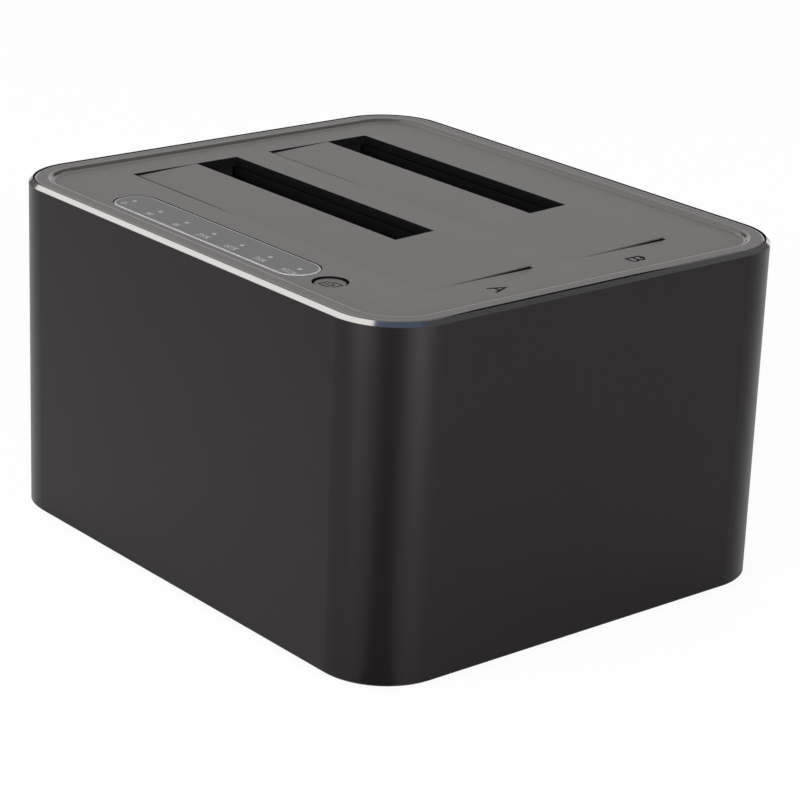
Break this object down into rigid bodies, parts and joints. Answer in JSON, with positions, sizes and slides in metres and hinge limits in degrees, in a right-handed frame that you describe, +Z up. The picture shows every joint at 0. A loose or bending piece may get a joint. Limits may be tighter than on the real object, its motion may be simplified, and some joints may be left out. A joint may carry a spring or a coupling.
{
  "type": "hard drive docking station",
  "caption": "Desktop docking station: aluminium sleeve with a dished plastic top, upright drive bays under sprung L-shaped flaps, a status window and a round button; ports at the rear.",
  "frame": {"origin": "on the table, under the middle of the housing", "axes": "+X right as seen from the front (the side with the status window nearest), +Y to the rear, +Z up"},
  "size_m": [0.1358, 0.1144, 0.078],
  "materials": {
    "anodised_aluminium": "fine bead-blasted black anodising with a bright cut chamfer",
    "top_plastic": "fine textured dark grey moulding",
    "base_plastic": "matt black moulding",
    "well_plastic": "matt black moulding",
    "smoked_lens": "satin smoked lens",
    "clear_guide": "frosted clear moulding",
    "rubber": "matt black rubber",
    "screw_steel": "zinc-plated steel",
    "pin_steel": "ground steel",
    "spring_steel": "drawn spring wire",
    "socket_plastic": "glass-filled black moulding",
    "contact_metal": "gold-flashed contacts",
    "circuit_board": "green solder mask",
    "chip_black": "moulded chip bodies",
    "post_metal": "drawn bare aluminium",
    "can_metal": "drawn cans",
    "shell_metal": "nickel-plated shell",
    "rocker_plastic": "semi-gloss black",
    "lamp_white": "white lamp bodies",
    "tact_metal": "black moulding",
    "ribbon_film": "white laminated film"
  },
  "bodies": {
    "housing": {"base_plate": "base_plastic", "board_screws": "screw_steel", "bridge_chip": "chip_black", "capacitors": "can_metal", "crystal": "can_metal", "drive_socket_a": "socket_plastic", "drive_socket_b": "socket_plastic", "drive_well_a": "well_plastic", "drive_well_b": "well_plastic", "flap_spring_a": "spring_steel", "flap_spring_b": "spring_steel", "foot_front_left": "rubber", "foot_front_right": "rubber", "foot_rear_left": "rubber", "foot_rear_right": "rubber", "hinge_bar_a": "well_plastic", "hinge_bar_b": "well_plastic", "hinge_pin_a": "pin_steel", "hinge_pin_b": "pin_steel", "housing_screws": "screw_steel", "indicator_board": "circuit_board", "indicator_lamps": "lamp_white", "indicator_screws": "screw_steel", "inductors": "chip_black", "light_guide": "clear_guide", "lower_ribbon_socket": "socket_plastic", "main_board": "circuit_board", "power_jack": "socket_plastic", "power_jack_pin": "contact_metal", "rear_bezel": "base_plastic", "ribbon_cable": "ribbon_film", "sleeve": "anodised_aluminium", "small_chips": "chip_black", "socket_contacts_a": "contact_metal", "socket_contacts_b": "contact_metal", "spacer_posts": "post_metal", "status_window": "smoked_lens", "switch_body": "socket_plastic", "tact_switch": "tact_metal", "top_plate": "top_plastic", "upper_ribbon_socket": "socket_plastic", "usb_shell": "shell_metal", "usb_tongues": "socket_plastic", "well_screws": "screw_steel"},
    "flap_a": {"flap_a": "top_plastic"},
    "flap_b": {"flap_b": "top_plastic"},
    "button": {"clone_button": "top_plastic", "tact_plunger": "tact_metal"},
    "rocker": {"power_rocker": "rocker_plastic"}
  },
  "joints": [
    {"name": "flap_a_hinge", "type": "hinge", "parent": "housing", "child": "flap_a", "pos_m": [0, -0.03387, 0.0729], "axis": [-1, 0, 0], "range_deg": [0, 91.5], "stiffness_Nm_per_rad": 0.003, "springref_deg": -34.38, "deforming": ["flap_spring_a"]},
    {"name": "flap_b_hinge", "type": "hinge", "parent": "housing", "child": "flap_b", "pos_m": [0, 0.00416, 0.0729], "axis": [-1, 0, 0], "range_deg": [0, 91.5], "stiffness_Nm_per_rad": 0.003, "springref_deg": -34.38, "deforming": ["flap_spring_b"]},
    {"name": "button_press", "type": "slide", "parent": "housing", "child": "button", "axis": [0, 0, -1], "range_m": [0, 0.0004], "stiffness_N_per_m": 600, "springref_m": -0.001},
    {"name": "rocker_tip", "type": "hinge", "parent": "housing", "child": "rocker", "pos_m": [0.0185, 0.0538, 0.0167], "axis": [0, 0, -1], "range_deg": [0, 10]}
  ]
}
